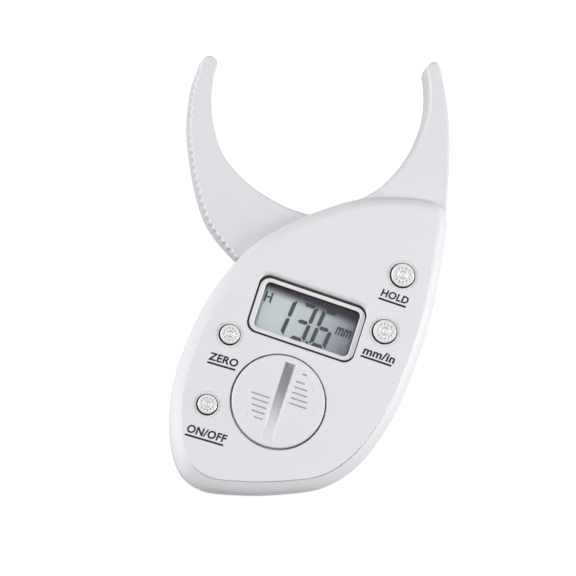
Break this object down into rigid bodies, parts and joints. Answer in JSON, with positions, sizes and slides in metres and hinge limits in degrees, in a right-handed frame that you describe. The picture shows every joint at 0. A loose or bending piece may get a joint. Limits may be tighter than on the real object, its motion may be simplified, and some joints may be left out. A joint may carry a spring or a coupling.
{
  "type": "digital skinfold caliper",
  "caption": "Digital skinfold caliper: drop-shaped housing with a fixed jaw, a swinging jaw arm with a toothed thumb grip, a framed display, push buttons and a coin-slot battery door.",
  "frame": {"origin": "under the middle of the object's outline, on the surface that its flat back rests on", "axes": "+Z out of the display face, +Y towards the jaw tips, +X towards the fixed jaw's side"},
  "size_m": [0.103, 0.1599, 0.0215],
  "materials": {
    "cover_plastic": "satin silver-white",
    "arm_plastic": "satin silver-white",
    "bezel_plastic": "pale silver, slightly pink, glossy",
    "button_plastic": "silver with fine sparkle",
    "clear_pane": "clear, polished",
    "display_glass": "grey-green liquid crystal display",
    "black_plastic": "black",
    "black_rubber": "black rubber",
    "grey_rubber": "grey conductive rubber",
    "board_laminate": "green solder mask",
    "bush_brass": "turned brass",
    "spring_steel": "rolled strip",
    "cell_steel": "nickel-plated can",
    "screw_steel": "plated screw"
  },
  "bodies": {
    "housing": {"rear_cover": "cover_plastic", "front_cover": "cover_plastic", "lcd_bezel": "bezel_plastic", "display_window": "clear_pane", "lcd_glass": "display_glass", "lcd_holder": "black_plastic", "zebra_strip_upper": "grey_rubber", "zebra_strip_lower": "grey_rubber", "circuit_board": "board_laminate", "controller_chip": "black_plastic", "on_off_switch": "black_plastic", "zero_switch": "black_plastic", "hold_switch": "black_plastic", "unit_switch": "black_plastic", "pivot_bush": "bush_brass", "friction_washer": "spring_steel", "retaining_washer": "spring_steel", "pivot_screw": "screw_steel", "door_seal": "black_rubber", "coin_cell": "cell_steel", "battery_contact_plus": "spring_steel", "battery_contact_minus": "spring_steel", "case_screw_1": "screw_steel", "case_screw_2": "screw_steel", "case_screw_3": "screw_steel", "case_screw_4": "screw_steel", "board_screw_1": "screw_steel", "board_screw_2": "screw_steel", "board_screw_3": "screw_steel"},
    "arm": {"moving_arm": "arm_plastic", "encoder_rotor": "board_laminate"},
    "on_off_key": {"on_off_button": "button_plastic", "on_off_plunger": "black_plastic"},
    "zero_key": {"zero_button": "button_plastic", "zero_plunger": "black_plastic"},
    "hold_key": {"hold_button": "button_plastic", "hold_plunger": "black_plastic"},
    "unit_key": {"unit_button": "button_plastic", "unit_plunger": "black_plastic"},
    "door": {"battery_door": "cover_plastic"}
  },
  "joints": [
    {"name": "arm_swing", "type": "hinge", "parent": "housing", "child": "arm", "pos_m": [0.00376, 0.0111, 0.0095], "axis": [0, 0, -1], "range_deg": [0, 59.5]},
    {"name": "on_off_press", "type": "slide", "parent": "housing", "child": "on_off_key", "axis": [0, 0, -1], "range_m": [0, 0.0004], "stiffness_N_per_m": 600},
    {"name": "zero_press", "type": "slide", "parent": "housing", "child": "zero_key", "axis": [0, 0, -1], "range_m": [0, 0.0004], "stiffness_N_per_m": 600},
    {"name": "hold_press", "type": "slide", "parent": "housing", "child": "hold_key", "axis": [0, 0, -1], "range_m": [0, 0.0004], "stiffness_N_per_m": 600},
    {"name": "unit_press", "type": "slide", "parent": "housing", "child": "unit_key", "axis": [0, 0, -1], "range_m": [0, 0.0004], "stiffness_N_per_m": 600},
    {"name": "battery_door_turn", "type": "hinge", "parent": "housing", "child": "door", "pos_m": [-0.0127, -0.04687, 0.019], "axis": [0, 0, 1], "range_deg": [0, 45]}
  ]
}
